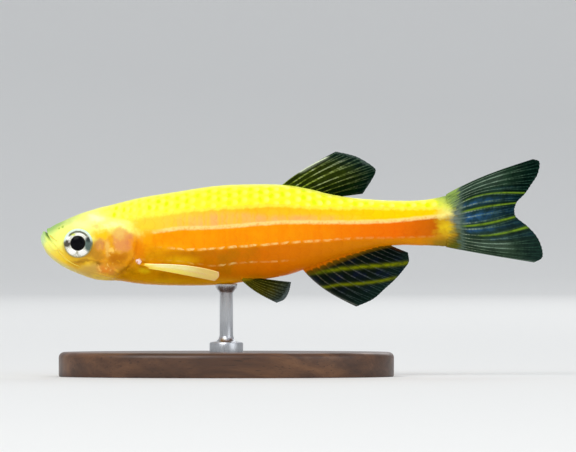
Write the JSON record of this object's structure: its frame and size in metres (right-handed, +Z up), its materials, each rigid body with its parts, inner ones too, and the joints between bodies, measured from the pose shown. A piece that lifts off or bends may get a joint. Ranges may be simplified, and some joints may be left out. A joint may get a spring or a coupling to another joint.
{
  "type": "zebra danio model",
  "caption": "Life-size zebra danio in yellow and orange, swimming level with fins spread, on an oval display base with a short rod.",
  "frame": {"origin": "on the floor under the middle of the fish's length, in the fish's own middle plane", "axes": "+X towards the tail, +Y towards the fish's right side, +Z up"},
  "size_m": [0.045, 0.016, 0.0201],
  "materials": {
    "head_skin": "gloss",
    "body_skin": "gloss",
    "gill_cover": "gloss",
    "eye": "gloss",
    "fin": "satin",
    "pectoral_fin": "satin",
    "stand_wood": "satin",
    "stand_steel": "brushed"
  },
  "bodies": {
    "root": {"head": "head_skin", "lower_jaw": "head_skin", "gill_cover_left": "gill_cover", "gill_cover_right": "gill_cover", "eye_left": "eye", "eye_right": "eye", "trunk": "body_skin", "tail_stalk": "body_skin", "dorsal_fin": "fin", "anal_fin": "fin", "tail_fin_upper": "fin", "tail_fin_lower": "fin", "pectoral_fin_left": "pectoral_fin", "pectoral_fin_right": "pectoral_fin", "pelvic_fin_left": "fin", "pelvic_fin_right": "fin", "stand_base": "stand_wood", "stand_rod": "stand_steel"}
  },
  "joints": []
}
